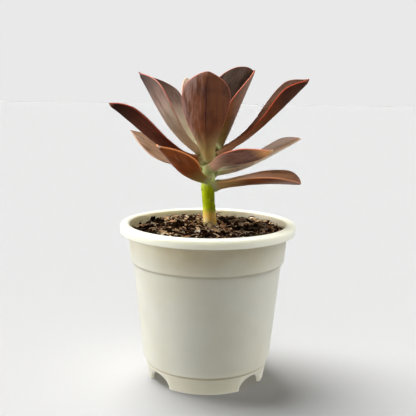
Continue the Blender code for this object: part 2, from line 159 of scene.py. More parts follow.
class Bench:  # adds nodes to one tree and joins them
    def __init__(self, tree):
        self.tree = tree

    def feed(self, socket, value):
        if isinstance(value, bpy.types.NodeSocket):
            self.tree.links.new(value, socket)
        else:
            socket.default_value = value

    def add(self, kind, given=(), **settings):  # given pairs the node's inputs with values or with outputs
        node = self.tree.nodes.new(kind)
        for name, value in settings.items():
            setattr(node, name, value)
        for slot, value in dict(given).items():
            self.feed(node.inputs[slot], value)
        return node

    def math(self, operation, *values):
        return self.add("ShaderNodeMath", enumerate(values), operation=operation).outputs[0]

    def times(self, first, second, plus=None):
        if plus is None:
            return self.math("MULTIPLY", first, second)
        return self.math("MULTIPLY_ADD", first, second, plus)

    def ramp(self, value, low, high, start=0.0, end=1.0):
        given = enumerate((value, low, high, start, end))
        return self.add("ShaderNodeMapRange", given, interpolation_type="SMOOTHSTEP").outputs[0]


class Skin(Bench):  # one material, whose colour is laid on coat by coat
    def __init__(self, name, **fixed):
        self.material = bpy.data.materials.new(name)
        self.material.use_nodes = True
        super().__init__(self.material.node_tree)
        self.shader = self.tree.nodes["Principled BSDF"]
        self.colour = None
        for socket, value in fixed.items():
            self.shader.inputs[socket.replace("_", " ")].default_value = value

    def objectPlace(self):
        return self.add("ShaderNodeTexCoord").outputs["Object"]

    def split(self, vector):
        return list(self.add("ShaderNodeSeparateXYZ", {0: vector}).outputs)

    def attribute(self, name):
        return self.add("ShaderNodeAttribute", attribute_name=name).outputs["Vector"]

    def parts(self, name):  # the three numbers of an attribute
        return self.split(self.attribute(name))

    def grain(self, vector, scale, detail, roughness=0.5, stretch=None):
        if stretch:
            vector = self.add("ShaderNodeMapping", {"Vector": vector, "Scale": stretch}).outputs[0]
        given = {"Vector": vector, "Scale": scale, "Detail": detail, "Roughness": roughness}
        return self.add("ShaderNodeTexNoise", given).outputs["Fac"]

    def mix(self, share, first, second):  # the node's inputs 6 and 7 are its colours
        return self.add("ShaderNodeMix", {0: share, 6: first, 7: second}, data_type="RGBA").outputs[2]

    def coat(self, share, colour):
        self.colour = self.mix(share, self.colour, colour)

    def bump(self, height, strength, distance):
        node = self.add("ShaderNodeBump", {"Height": height, "Strength": strength, "Distance": distance})
        self.feed(self.shader.inputs["Normal"], node.outputs[0])

    def finish(self, roughness):
        self.feed(self.shader.inputs["Base Color"], self.colour)
        self.feed(self.shader.inputs["Roughness"], roughness)
        return self.material


# ---- Camera, floor and light

cameraView = {
    "lens": 65,
    "place": (0, -0.46265, 0.18577),
    "tiltDown": 9.563,
    "roll": 0.74,
    "nearest": 0.01,
    "furthest": 50,
}
studio = {
    "backdrop": 0.815,  # what the camera sees behind the floor
    "floorAlbedo": 0.57,
    "floorGlow": 0.62,  # what the floor sends back to the object, in its shadow too
    "floorRadius": 6,
    "ambient": 0.01,
    "panels": ((0, 8, 0.8), (250, 80, 0.15)),  # azimuth, height in degrees, strength
    "panelSpread": (30, 12),
    "suns": {  # strength, azimuth and height in degrees, spread
        "key": (4.4, 136, 65, 46),
        "left": (3.45, 184, 13, 44),  # this one and the next pass the floor by
        "side": (1.3, 352, 42, 50),
        "fill": (0.55, 262, 45, 60),  # for the floor alone, which opens up the shadow
        "lip": (1.5, 6, 64, 40),  # for the pot alone, which keeps its lip bright under the leaves
    },
}


def makeCamera():
    camera = linked("camera", bpy.data.cameras.new("camera"))
    camera.data.lens = cameraView["lens"]
    camera.data.clip_start = cameraView["nearest"]
    camera.data.clip_end = cameraView["furthest"]
    camera.matrix_world = (Matrix.Translation(cameraView["place"]) @ turned(90 - cameraView["tiltDown"], "X")
                           @ turned(cameraView["roll"], "Z"))
    scene.camera = camera


def towards(azimuth, height):
    level = math.radians(height)
    return polar(math.cos(level), azimuth, math.sin(level))


def makeWorld():  # a dark room with a soft panel at the right and a weak one overhead
    scene.world = bpy.data.worlds.new("studio")
    scene.world.use_nodes = True
    bench = Bench(scene.world.node_tree)
    place = bench.add("ShaderNodeTexCoord").outputs["Generated"]
    outer, inner = (math.cos(math.radians(spread)) for spread in studio["panelSpread"])
    total = studio["ambient"]
    for azimuth, height, strength in studio["panels"]:
        facing = bench.add("ShaderNodeVectorMath", {0: place, 1: towards(azimuth, height)},
                           operation="DOT_PRODUCT").outputs["Value"]
        total = bench.math("ADD", bench.ramp(facing, outer, inner, 0, strength), total)
    seen = bench.add("ShaderNodeLightPath").outputs["Is Camera Ray"]
    strength = bench.add("ShaderNodeMix", {0: seen, 2: total, 3: studio["backdrop"]}).outputs[0]
    background = bench.tree.nodes["Background"]
    background.inputs["Color"].default_value = (1, 1, 1, 1)
    bench.feed(background.inputs["Strength"], strength)


def makeSun(name, group=None):
    strength, azimuth, height, spread = studio["suns"][name]
    sun = linked(name, bpy.data.lights.new(name, "SUN"))
    sun.data.energy = strength
    sun.data.angle = math.radians(spread)
    sun.rotation_euler = towards(azimuth, height).to_track_quat("Z", "Y").to_euler()
    if group:
        sun.light_linking.receiver_collection = group


def lightGroup(name, thing, state="INCLUDE"):  # what a light falls on, or passes by
    group = bpy.data.collections.new(name)
    group.objects.link(thing)
    group.collection_objects[0].light_linking.link_state = state
    return group


def makeFloor():
    work = bmesh.new()
    bmesh.ops.create_circle(work, cap_ends=True, segments=96, radius=studio["floorRadius"])
    floor = linked("floor", meshOf(work, "floor"))
    level = studio["floorAlbedo"]
    paper = Skin("paleFloor", Base_Color=(level, level, level, 1), Roughness=0.9, Specular_IOR_Level=0)
    seen = paper.add("ShaderNodeLightPath").outputs["Is Camera Ray"]
    glow = paper.add("ShaderNodeEmission", {"Strength": studio["floorGlow"]}).outputs[0]
    either = paper.add("ShaderNodeMixShader", {0: seen, 1: glow, 2: paper.shader.outputs[0]}).outputs[0]
    paper.feed(paper.tree.nodes["Material Output"].inputs["Surface"], either)
    floor.data.materials.append(paper.material)
    return floor


scene.view_settings.view_transform = "Standard"
makeCamera()
makeWorld()
makeSun("key")
floor = makeFloor()
allButFloor = lightGroup("unlit", floor, "EXCLUDE")
makeSun("left", allButFloor)
makeSun("side", allButFloor)
makeSun("fill", lightGroup("onlyFloor", floor))
print("camera, light and floor are in place")


# ---- Pot: a turned plastic shell with a rolled lip, a band, a tapered wall and a notched foot

pot = {
    "height": 99, "wall": 1.4, "mouthRadius": 48.8, "mouthRound": 2, "bandRadius": 48.2, "bandHeight": 75.7,
    "stepDrop": 1.5, "wallTop": 46.4, "wallFoot": 40.6, "wallFootHeight": 17, "foot": 36.5, "footWall": 1.9,
    "floorUnder": 9.2, "floorTop": 11,
    "profile": (  # radius, height and fillet: up the inside, over the lip, down the outside and under the floor
        (0, 11, 0), (33.8, 11, 0), (37.8, 12.4, 2), (39.2, 17, 1), (44.998986, 74.2, 0.4), (46.8, 75.7, 0.4),
        (48.8, 98.4, 0.5), (49.9, 99, 1.6), (54.7, 99, 2.9), (54.6, 93.1, 0.5), (52.9, 93.1, 0.5), (52.7, 96, 0.8),
        (50.4, 96.4, 0.8), (49.8, 93.1, 0.5), (48.2, 75.7, 0.7), (46.4, 74.2, 0.6), (40.6, 17, 3), (39.83, 13.65, 2),
        (38.84, 11.305, 1), (38.4, 11, 0.3), (38.1, 10.3, 0.35), (38.4, 9.6, 0.3), (36.5, 0, 0.5), (34.6, 0, 0.5),
        (36.1, 9.2, 1.2), (0, 9.2, 0),
    ),
    "filletSteps": 4, "notches": (36, 140, 216, 320), "notchHalfWidth": 10.5, "notchHeight": 7.5,
    "notchColumns": 36, "columns": 176, "drains": 5, "drainRing": 21, "drainRadius": 3.5,
}
potColours = tinted({
    "plastic": (233, 229, 206), "deeper": (225, 219, 193), "tan": (172, 146, 98), "dust": (120, 92, 66),
    "lip": (250, 247, 222), "foot": (206, 202, 186), "paintedCreaseShade": (122, 104, 70), "inner": (190, 183, 162),
})


def potOutline():  # the profile with its corners rounded
    corners = [Vector(corner[:2]) for corner in pot["profile"]]
    outline = []
    for index, corner in enumerate(corners):
        fillet = pot["profile"][index][2]
        if not fillet:
            outline.append(corner)
            continue
        before, after = corners[index - 1] - corner, corners[index + 1] - corner
        reach = min(fillet, 0.49 * before.length, 0.49 * after.length)
        start, end = corner + before.normalized() * reach, corner + after.normalized() * reach
        for step in range(pot["filletSteps"] + 1):
            share = step / pot["filletSteps"]
            outline.append(start * (1 - share) ** 2 + corner * (2 * share * (1 - share)) + end * share ** 2)
    return outline


def innerRadius(height):  # the pot's inside at a height, both in millimetres
    wall, band = pot["wall"], pot["bandHeight"]
    if height >= band:
        share = (height - band) / (pot["height"] - pot["mouthRound"] - band)
        return between((pot["bandRadius"] - wall, pot["mouthRadius"]), share)
    share = (height - pot["wallFootHeight"]) / (band - pot["stepDrop"] - pot["wallFootHeight"])
    return between((pot["wallFoot"] - wall, pot["wallTop"] - wall), min(share, 1))


def potColumns():  # azimuths in degrees, each with the height of the notch's arch there
    halfWidth, foot = pot["notchHalfWidth"], pot["foot"]
    reach = math.degrees(math.asin(halfWidth / foot))
    columns = []
    for azimuth in pot["notches"]:
        for index in range(pot["notchColumns"] + 1):
            across = -math.cos(math.pi * index / pot["notchColumns"])
            turn = math.degrees(math.asin(across * halfWidth / foot))
            columns.append((azimuth + turn, pot["notchHeight"] * math.sqrt(max(1 - across * across, 0))))
    for index in range(pot["columns"]):
        azimuth = 360 * index / pot["columns"]
        if min(abs((azimuth - notch + 180) % 360 - 180) for notch in pot["notches"]) > reach + 0.4:
            columns.append((azimuth, 0))
    return sorted(columns)


def makePot():
    outline, columns, under = potOutline(), potColumns(), pot["floorUnder"]
    points, faces = [], []
    size = len(outline) - 2
    for azimuth, arch in columns:
        for radius, height in outline[1:-1]:
            if height < under and radius > pot["foot"] - 2 * pot["footWall"]:
                height = arch + height * (under - arch) / under
            points.append(polar(radius * mm, azimuth, height * mm))
    points += [Vector((0, 0, outline[0].y * mm)), Vector((0, 0, outline[-1].y * mm))]
    for index in range(len(columns)):
        here, there = index * size, (index + 1) % len(columns) * size
        for row in range(size - 1):
            faces.append((here + row, here + row + 1, there + row + 1, there + row))
        faces.append((here, there, len(points) - 2))
        faces.append((here + size - 1, len(points) - 1, there + size - 1))
    shell = linked("potShell", meshFrom("potShell", points, faces))
    drainHoles(shell)
    return shell


def drainHoles(shell):  # one in the middle and a ring of them
    work = bmesh.new()
    height = (pot["floorUnder"] + pot["floorTop"]) / 2
    for number in range(pot["drains"] + 1):
        ring = pot["drainRing"] if number else 0
        place = Matrix.Translation(polar(ring * mm, 360 * number / pot["drains"], height * mm))
        bmesh.ops.create_cone(work, cap_ends=True, segments=40, radius1=pot["drainRadius"] * mm,
                              radius2=pot["drainRadius"] * mm, depth=6 * mm, matrix=place)
    drains = linked("drains", meshOf(work, "drains"))
    cut = shell.modifiers.new("drains", "BOOLEAN")
    cut.operation = "DIFFERENCE"
    cut.solver = "EXACT"
    cut.object = drains
    baked = bpy.data.meshes.new_from_object(shell.evaluated_get(bpy.context.evaluated_depsgraph_get()))
    shell.modifiers.clear()
    shell.data = baked
    bpy.data.objects.remove(drains)


def plasticLook():  # smooth moulded plastic with soft mottling and dust at the soil line; painted shade under the lip, at the step and groove and on the inner wall, and a lip painted lighter
    tints = potColours
    skin = Skin("creamPlastic", Subsurface_Weight=0.9, Subsurface_Scale=0.005, Subsurface_Radius=(1, 0.98, 0.85),
                Coat_Weight=0.12, Coat_Roughness=0.25, Specular_IOR_Level=0.45)
    place = skin.objectPlace()
    x, y, z = skin.split(place)
    cloudy = skin.grain(place, 28, 3)
    streaks = skin.grain(place, 1, 2, stretch=(160, 160, 9))
    skin.colour = skin.mix(skin.ramp(cloudy, 0.35, 0.75), tints["plastic"], tints["deeper"])
    # painted shade and painted reflection: a warm tan band under the lip, heaviest at the front and back middle
    paintedUnderLipShade = skin.times(skin.ramp(z, 0.072, 0.0918), skin.ramp(cloudy, 0.3, 0.7, 0.4, 0.85))
    skin.coat(skin.times(paintedUnderLipShade, skin.ramp(skin.math("ABSOLUTE", x), 0.044, 0.01, 0.3, 1)), tints["tan"])
    for height, width, share in ((0.0752, 0.0014, 0.5), (0.0106, 0.0013, 0.45)):  # painted shade lines at the step and in the groove
        away = skin.math("ABSOLUTE", skin.math("SUBTRACT", z, height))
        skin.coat(skin.ramp(away, width, 0.0002, 0, share), tints["paintedCreaseShade"])
    skin.coat(skin.ramp(z, 0.0102, 0.0092, 0, 0.8), tints["foot"])
    # painted light: the lip is coloured lighter than the rest of the plastic
    skin.coat(skin.ramp(z, 0.0918, 0.0942), tints["lip"])
    radial = skin.math("SQRT", skin.times(x, x, skin.times(y, y)))
    inside = skin.times(skin.ramp(radial, 0.0508, 0.0494), skin.ramp(z, 0.0997, 0.098))
    inside = skin.times(inside, skin.ramp(z, 0.0915, 0.0925))
    # painted shade on the inner wall and the rim's inner edge, heavier towards the right
    skin.coat(skin.times(inside, skin.ramp(x, 0.034, 0.004, 1, 0.58)), tints["inner"])
    dust = skin.times(skin.ramp(z, 0.0968, 0.0945), skin.ramp(skin.grain(place, 420, 3), 0.5, 0.7, 0, 0.8))
    skin.coat(skin.times(inside, dust), tints["dust"])
    skin.bump(skin.times(streaks, 2, skin.grain(place, 900, 2)), 0.05, 0.0002)
    return skin.finish(skin.times(streaks, 0.14, 0.3))


potShell = finished(makePot(), plasticLook(), ["pot"], 30)
makeSun("lip", lightGroup("onlyPot", potShell))
print("pot is turned:", len(potShell.data.polygons), "faces")


# ---- Stem: a bare green stem that turns ochre and woody where it meets the soil

stem = {
    "girths": ((60, 3.6), (90, 4), (107, 4.1), (111, 3.75), (115, 3.9), (122, 4.4), (140, 4.1), (150, 3.2)),
    "leanFrom": 97, "leanTo": 120, "backFrom": 124, "backTo": 140, "leanLow": 1.3, "leanHigh": -0.1,
    "axis": 0.5, "foot": 62, "top": 150, "sides": 96, "rings": 300, "wrinkle": 0.07,
    "scarSize": (2.3, 0.85), "scarRise": 0.2,
    "scars": ((100.2, 20), (103.3, 130), (109, 40), (111.8, 158), (113.2, 312), (117.8, 75), (119.6, 205)),
    "dot": (114.9, 268, 0.5),
}
stemColours = tinted({
    "green": (196, 212, 2), "dark": (166, 180, 1), "pale": (208, 218, 152), "ochre": (250, 200, 62),
    "creamAndHighlight": (255, 240, 196), "foot": (250, 198, 110), "scar": (96, 84, 30),
})


def stemCentre(height):  # millimetres
    lean = ease(shareBetween(height, stem["leanFrom"], stem["leanTo"]))
    across = between((stem["leanLow"], stem["leanHigh"]), lean)
    back = shareBetween(height, stem["backFrom"], stem["backTo"])
    return Vector((between((across, stem["axis"]), back), 0, height))


def stemRadius(height):
    for (low, first), (high, second) in zip(stem["girths"], stem["girths"][1:]):
        if height <= high:
            break
    return between((first, second), ease(shareBetween(height, low, high)))


def arcAway(azimuth, turn, radius):  # how far round the stem two azimuths lie from each other
    return math.radians((azimuth - turn + 180) % 360 - 180) * radius


def scarAt(height, azimuth, radius):  # how raised, and how much inside a leaf scar, this place is
    rise, inside = 0, 0
    for level, turn in stem["scars"]:
        across = arcAway(azimuth, turn, radius) / stem["scarSize"][0]
        far = math.hypot(across, (height - level - 0.35 * across * across) / stem["scarSize"][1])
        if far < 1.6:
            rise += math.exp(-((far - 1) / 0.3) ** 2)
            inside = max(inside, ease(1 - min(far / 1.05, 1)))
    return rise, inside


def makeStem():
    points, marks = [], []
    sides, rings = stem["sides"], stem["rings"]
    level, turn, size = stem["dot"]
    for ring in range(rings + 1):
        height = between((stem["foot"], stem["top"]), 1 - (1 - ring / rings) ** 1.4)
        centre, radius = stemCentre(height), stemRadius(height)
        for side in range(sides):
            azimuth = 360 * side / sides
            rise, inside = scarAt(height, azimuth, radius)
            place = polar(1, azimuth)
            wrinkle = noise.noise(Vector((place.x * 4, place.y * 4, height / 5))) + 0.5 * noise.noise(
                Vector((place.x * 11, place.y * 11, height / 12)))
            reach = radius + stem["wrinkle"] * wrinkle + stem["scarRise"] * (rise - inside)
            points.append((centre + polar(reach, azimuth)) * mm)
            away = math.hypot(arcAway(azimuth, turn, radius), height - level)
            marks.append((rise, max(inside, ease(1 - min(away / size, 1))), height))
    mesh = meshFrom("bareStem", points, tube(rings + 1, sides))
    storeVectors(mesh, "stemMarks", marks)
    return linked("bareStem", mesh)


def stemLook():
    tints = stemColours
    skin = Skin("stemSkin", Subsurface_Weight=0.5, Subsurface_Scale=0.004, Subsurface_Radius=(0.9, 1, 0.3),
                Specular_IOR_Level=0.08)
    place = skin.objectPlace()
    rise, inside, height = skin.parts("stemMarks")
    broad = skin.grain(place, 160, 3)
    fibres = skin.grain(place, 1, 3, stretch=(1500, 1500, 110))
    skin.colour = skin.mix(skin.ramp(broad, 0.35, 0.65), tints["green"], tints["dark"])
    skin.coat(skin.ramp(height, 120, 128), tints["pale"])
    edge = skin.times(broad, 6, height)
    # cream patches at random over the ochre, partly a painted highlight
    lower = skin.mix(skin.ramp(broad, 0.46, 0.7, 0.12, 0.65), tints["ochre"], tints["creamAndHighlight"])
    lower = skin.mix(skin.ramp(fibres, 0.45, 0.7, 0, 0.25), lower, tints["foot"])
    skin.coat(skin.ramp(edge, 112.5, 106), lower)
    skin.coat(skin.ramp(edge, 102.5, 97.5, 0, 0.4), tints["foot"])
    skin.coat(skin.times(inside, 0.6), tints["scar"])
    skin.coat(skin.ramp(rise, 0.3, 1, 0, 0.15), tints["pale"])
    skin.bump(skin.math("ADD", fibres, skin.grain(place, 1800, 2)), 0.35, 0.0002)
    return skin.finish(skin.ramp(fibres, 0.3, 0.7, 0.42, 0.62))


bareStem = finished(makeStem(), stemLook(), ["stem"], 70)
print("stem is grown:", len(bareStem.data.polygons), "faces")


# ---- Leaves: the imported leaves' own curves in finer steps, with rounded margins, a keel and soft waves

leafShape = {
    "rings": 92, "across": 36, "marginSteps": 4, "edge": 0.8, "foldRounding": 0.18,
    "handle": 0.36, "rootOut": 2, "bulge": 1.6, "keelRise": 0.3, "keelWidth": 0.1, "waveHeight": 0.22,
    "unevenness": 0.16, "sunkInStem": 1.0, "tipEdge": 0.3, "lastPart": 0.996,
}
plainLeaf = dict(sweep=0, roll=0, twist=0, widest=0.64, point=0.8, neck=0.24, swell=1.1, flare=(1.3, 2.4), bulk=2.6)
# azimuth in degrees, root height and tip (out, up) in mm, pitch at root and tip; the fold and turns are in degrees
leafValues = ("azimuth", "root", "tip", "pitch", "halfWidth", "fold", "sweep", "widest", "roll", "twist", "point",
              "neck", "swell", "flare", "bulk")
leaves = {  # a row that stops early keeps the plain leaf's values
    "leaf_lowest_right": (349, 123.5, (56.9, 125.9), (11, -10), 14.4, 16, -2.6, 0.83, 2, 3, 0.65, 0.23, 1.06,
                          (2.2, 3.5), 3.4),
    "leaf_low_front_left": (237, 127.5, (53.5, 150.3), (1, 14), 13.7, 20, -3.5, 0.55, -9.9, 2, 1.42, 0.27, 0.94),
    "leaf_low_back": (88, 127.5, (53, 136), (8, 6), 13, 14, 1, 0.7, 0, 0, 0.9),
    "leaf_low_right": (20, 131.5, (61.9, 150.7), (-1, 19), 11.7, 12, 0.2, 0.85, 1.5, -2, 0.8, 0.28),
    "leaf_low_front_right": (309.5, 133.6, (55.8, 148.6), (26, 28), 11.3, 27, -2.6, 0.68, 1.6, -8, 1.34, 0.28, 0.92),
    "leaf_low_left": (152, 133.9, (58.7, 154.2), (1, 20), 13.9, -3, -1.5, 0.51, -8, -3, 1.18, 0.25, 1.06),
    "leaf_middle_left": (187, 138, (61.3, 172.5), (5, 31), 12.3, 33, 0.5, 0.77, 0.1, 0, 1.06, 0.27, 1.21),
    "leaf_middle_back": (123, 138, (45, 166), (24, 42), 12, 26, 0, 0.68, 0, 0, 0.9),
    "leaf_middle_right": (358, 141.3, (59.8, 188.3), (26, 43), 14.2, 31, 4.4, 0.81, 15, -12, 1.41, 0.14, 1.73,
                          (3, 4.5)),
    "leaf_upper_back_right": (80, 134.5, (41, 165), (28, 42), 8, 26, 0, 0.66),
    "leaf_front": (268, 139.2, (42.4, 191.5), (30, 57), 14.8, 22, -1.6, 0.72, 3.5, -3, 0.88, 0.24, 1.01),
    "leaf_upper_left": (153, 142, (51.1, 191.4), (23, 42), 16, 47, 4, 0.65, 0.1, 9, 1.46, 0.24, 1),
    "leaf_upper_right": (37, 143.1, (34, 193.2), (42, 58), 19.9, 59, 2.3, 0.61, -8.4, 37, 0.55, 0.16, 1.07, (3, 4.4)),
    "leaf_upper_back": (112, 144, (43.2, 188.4), (42, 60), 10.4, 28, -1.5, 0.58, -1, 0, 0.84, 0.2),
}


def leafMidrib(leaf, t):
    root, tip = Vector((leafShape["rootOut"], leaf["root"])), Vector(leaf["tip"])
    reach = (tip - root).length * leafShape["handle"]
    leave, arrive = (math.radians(pitch) for pitch in leaf["pitch"])
    first = root + Vector((math.cos(leave), math.sin(leave))) * reach
    second = tip - Vector((math.cos(arrive), math.sin(arrive))) * reach
    s = 1 - t
    flat = root * s ** 3 + first * (3 * s * s * t) + second * (3 * s * t * t) + tip * t ** 3
    side = polar(1, leaf["azimuth"] + 90)
    bow = leaf["sweep"] * math.sin(math.pi * t)
    return Vector((stem["axis"], 0, flat.y)) + polar(flat.x, leaf["azimuth"]) + side * bow


def leafAxes(leaf, t):
    along = (leafMidrib(leaf, min(t + 0.01, 1)) - leafMidrib(leaf, max(t - 0.01, 0))).normalized()
    up = along.cross(polar(1, leaf["azimuth"] + 90)).normalized()
    across = up.cross(along)
    turn = math.radians(leaf["roll"] + leaf["twist"] * t)
    return across * math.cos(turn) + up * math.sin(turn), up * math.cos(turn) - across * math.sin(turn)


def leafHalfWidth(leaf, t):
    if t < leaf["widest"]:
        rise = 0.5 - 0.5 * math.cos(math.pi * (t / leaf["widest"]) ** leaf["swell"])
        share = leaf["neck"] + (1 - leaf["neck"]) * rise
    else:
        past = min((t - leaf["widest"]) / (1 - leaf["widest"]), 1)
        share = (1 - past * past) ** leaf["point"]
    return max(leaf["halfWidth"] * share, 0.4)


def leafSection(leaf, t, width, swelling):  # the ring of (x, y, across, margin distance, under) at one place
    shape = leafShape
    fold = math.radians(leaf["fold"])
    rounding = shape["foldRounding"]
    span = math.sqrt(1 + rounding ** 2) - rounding
    edge = between((shape["tipEdge"], shape["edge"]), min(width / 3, 1))
    limit = max(1 - 0.5 * edge / width, 0.3)
    keel = shape["keelRise"] * ease(shareBetween(t, 0.1, 0.4))
    upper, lower = [], []
    for index in range(shape["across"] + 1):
        even = 2 * index / shape["across"] - 1
        s = limit * (0.5 * even - 0.5 * math.cos(math.pi * index / shape["across"]))
        root = math.sqrt(s * s + rounding ** 2)
        x = width * s * math.cos(fold)
        y = width * math.sin(fold) * (root - rounding) / span
        slope = math.tan(fold) * s / root / span
        length = math.hypot(1, slope)
        bulk = leaf["bulk"] * math.sqrt(max(1 - t, 0)) * (1 - abs(s) ** shape["bulge"])
        thick = edge + bulk * min(width / 2.5, 1) + keel * math.exp(-(s / shape["keelWidth"]) ** 2) + swelling
        rim = width * (1 - abs(s))
        upper.append((x, y, s, rim, 0))
        lower.append((x + slope / length * thick, y - thick / length, s, rim, 1))
    return upper + marginArc(upper[-1], lower[-1], 1) + lower[::-1] + marginArc(lower[0], upper[0], -1)


def marginArc(start, end, way):  # the half-round of the leaf's edge between two faces
    middle = Vector((start[0] + end[0], start[1] + end[1])) / 2
    spoke = Vector(start[:2]) - middle
    outward = Vector((-spoke.y, spoke.x)) if way * -spoke.y > 0 else Vector((spoke.y, -spoke.x))
    steps = leafShape["marginSteps"]
    arc = []
    for step in range(1, steps):
        angle = math.pi * step / steps
        place = middle + spoke * math.cos(angle) + outward * math.sin(angle)
        arc.append((place.x, place.y, start[2], 0, between((start[4], end[4]), step / steps)))
    return arc


def insideBox(place):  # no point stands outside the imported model's box
    return Vector([min(max(value, low), high) for value, low, high in zip(place, *cadBox)])


def leafStart(leaf):  # where the midrib leaves the stem
    for step in range(400):
        place = leafMidrib(leaf, step / 800)
        centre = stemCentre(place.z)
        if math.hypot(place.x - centre.x, place.y - centre.y) > stemRadius(place.z) - leafShape["sunkInStem"]:
            return step / 800
    return 0


def leafMesh(name, leaf, rings, seed, fromStem=True, shift=Vector()):
    points, places, shares = [], [], []
    start, end = leafStart(leaf) if fromStem else 0, leafShape["lastPart"]
    travelled, last = 0, leafMidrib(leaf, start)
    for ring in range(rings):
        t = start + (end - start) * (1 - (1 - (ring + 0.5) / rings) ** 1.5)
        middle = leafMidrib(leaf, t)
        travelled += (middle - last).length
        last = middle
        across, up = leafAxes(leaf, t)
        flare = leaf["flare"][0] * math.exp(-travelled / leaf["flare"][1]) if fromStem else 0
        width = leafHalfWidth(leaf, t) + flare
        section = leafSection(leaf, t, width, 0.8 * flare)
        calm = min(width / 5, 1) * min(travelled / 6, 1)
        for x, y, s, rim, under in section:
            wave = leafShape["waveHeight"] * s * s * math.sin(9 * t + 2.2 * seed + (2 if s > 0 else 0))
            uneven = leafShape["unevenness"] * noise.noise(Vector((x / 6, travelled / 9, seed)))
            place = middle + across * x + up * (y + (wave + uneven) * calm) + shift
            points.append(insideBox(place * mm))
            places.append((x, travelled, under))
            shares.append((s, t, rim))
    size = len(section)
    faces = bands(rings, size)
    tip = leafMidrib(leaf, end) - leafAxes(leaf, end)[1] * 0.2
    for pole, ring, t in ((leafMidrib(leaf, start), 0, 0), (tip, rings - 1, 1)):
        points.append(insideBox((pole + shift) * mm))
        places.append((0, travelled * t, 0.5))
        shares.append((0, t, 0 if t else 5))
        for index in range(size):
            faces.append((ring * size + index, ring * size + (index + 1) % size, len(points) - 1))
    mesh = meshFrom(name, points, faces)
    storeVectors(mesh, "bladePlace", places)
    storeVectors(mesh, "bladeShare", shares)
    return mesh


# How each leaf is coloured: inner is the face that looks up, outer the one below
plainLook = dict(
    inner=(134, 100, 82), outer=(122, 74, 54), bloom=(172, 146, 136), bloomInner=0.35, bloomOuter=0.3, paintedSheenSide=0,
    base=(158, 164, 104), baseReach=15, foot=(192, 200, 142), tip=(84, 46, 34), tipFrom=0.86, tipShare=0.6,
    point=(150, 92, 66), pointShare=0.5, margin=(196, 110, 88), rimWidth=0.45, keel=0.5, keelColour=(72, 26, 20),
    keelShade=0.2, lines=0.4, lineColour=(70, 46, 38), dust=0.1, dustColour=(206, 186, 176), gloss=0.2,
)
leafLooks = {
    # the front leaf carries painted sheen on its lit half
    "leaf_front": dict(
        outer=(120, 68, 38), bloom=(166, 134, 124), bloomOuter=-0.12, paintedSheenSide=0.5, keel=0.95, keelShade=0.85,
        tipShare=0.25, margin=(208, 112, 90), lines=0.2, base=(192, 176, 112), baseReach=30),
    # painted shade: the upper left leaf's tip is coloured near black where it turns into shade
    "leaf_upper_left": dict(
        outer=(156, 118, 100), bloom=(196, 172, 158), bloomOuter=0.3, inner=(162, 124, 104), bloomInner=0.3,
        tipFrom=0.42, tip=(42, 24, 19), tipShare=0.98, margin=(204, 122, 102), base=(240, 236, 204), baseReach=45,
        keel=0.1, lines=0.3),
    "leaf_upper_right": dict(
        inner=(122, 106, 94), bloomInner=0.2, bloom=(150, 130, 118), outer=(146, 88, 36), bloomOuter=-0.8,
        margin=(208, 112, 82), lines=0.6, tipShare=0.2, keel=0.1, base=(134, 118, 56), baseReach=28),
    "leaf_upper_back": dict(
        tip=(236, 212, 186), tipFrom=0.8, tipShare=1, point=(250, 232, 206), pointShare=1, margin=(224, 180, 150)),
    "leaf_middle_right": dict(
        outer=(118, 66, 38), bloomOuter=-0.8, inner=(136, 94, 70), bloomInner=0.2, bloom=(160, 126, 106),
        margin=(196, 84, 60), tip=(50, 24, 14), tipFrom=0.5, tipShare=0.8, keel=0.1, gloss=0.03,
        base=(180, 132, 98), baseReach=44, foot=(160, 140, 100), dust=0),
    # painted shade: this leaf's outer face is darkened and its tip half nearly black, over its own dark brown
    "leaf_middle_left": dict(
        outer=(96, 50, 35), bloomOuter=-0.5, inner=(128, 88, 70), margin=(164, 70, 52), rimWidth=0.4,
        tip=(22, 8, 4), tipFrom=0.5, tipShare=0.95, base=(150, 104, 64), baseReach=28, keel=0.1, dust=0.03,
        gloss=0.02),
    "leaf_low_left": dict(
        outer=(152, 114, 78), inner=(152, 114, 80), bloomInner=0.1, bloomOuter=0.1, bloom=(180, 150, 128),
        margin=(206, 166, 140), tip=(126, 82, 58), keel=0.1, tipFrom=0.88, base=(208, 172, 134), baseReach=34),
    "leaf_low_front_left": dict(
        outer=(146, 74, 32), bloomOuter=-0.05, inner=(158, 92, 56), bloomInner=0.05, bloom=(164, 118, 92),
        margin=(240, 150, 84), rimWidth=0.7, tip=(240, 208, 176), tipFrom=0.93, tipShare=1, base=(158, 132, 76),
        baseReach=24, keel=0.1, point=(250, 222, 190), pointShare=1),
    "leaf_low_front_right": dict(
        outer=(116, 74, 60), bloomOuter=0.15, inner=(156, 112, 86), bloom=(150, 116, 106), margin=(222, 124, 92),
        keel=0.1, tip=(252, 182, 112), tipFrom=0.78, tipShare=1, point=(220, 176, 130), pointShare=0.9,
        base=(226, 182, 156), baseReach=30),
    "leaf_low_right": dict(
        outer=(255, 230, 198), inner=(104, 72, 40), bloomInner=-0.3, bloomOuter=0, bloom=(160, 134, 98),
        margin=(226, 190, 156), tip=(110, 78, 54), keel=0.1, base=(190, 190, 140)),
    "leaf_lowest_right": dict(
        outer=(136, 70, 36), bloomOuter=-0.7, inner=(150, 98, 58), bloomInner=-0.2, bloom=(146, 112, 90),
        margin=(216, 142, 96), keel=0.1, base=(206, 164, 108), baseReach=30),
    "leaf_low_back": dict(outer=(176, 142, 112), inner=(176, 142, 110)),
}


